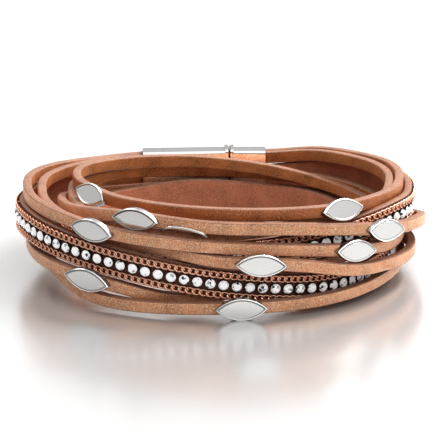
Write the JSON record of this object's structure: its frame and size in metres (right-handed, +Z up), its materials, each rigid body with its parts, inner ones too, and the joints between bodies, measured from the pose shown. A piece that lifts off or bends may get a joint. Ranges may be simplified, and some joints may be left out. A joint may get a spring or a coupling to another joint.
{
  "type": "leather wrap bracelet",
  "caption": "Double-wrap bracelet of narrow leather straps and a suede band with chains and rhinestones, leaf-shaped metal studs and a magnetic bar clasp.",
  "frame": {"origin": "bottom centre of the bounding box, where the lying bracelet meets the surface", "axes": "+Z up through the wrist opening, -Y towards the decorated front, +Y towards the clasp at the back"},
  "size_m": [0.0754, 0.0673, 0.0187],
  "materials": {
    "leather": "copper-tan grain with a slight shimmer, pale cut edges",
    "suede": "mauve-brown suede",
    "chain": "polished copper-coloured plating",
    "stone": "clear cut glass with a mirrored back",
    "steel": "polished silver-coloured plating"
  },
  "bodies": {
    "root": {"narrow_strap_1": "leather", "narrow_strap_2": "leather", "narrow_strap_3": "leather", "narrow_strap_4": "leather", "wide_strap": "suede", "chain_upper": "chain", "chain_lower": "chain", "rhinestones": "stone", "clasp_long_half": "steel", "clasp_short_half": "steel", "stud_1": "steel", "stud_2": "steel", "stud_3": "steel", "stud_4": "steel", "stud_5": "steel", "stud_6": "steel", "stud_7": "steel", "stud_8": "steel", "stud_9": "steel", "stud_10": "steel"}
  },
  "joints": []
}
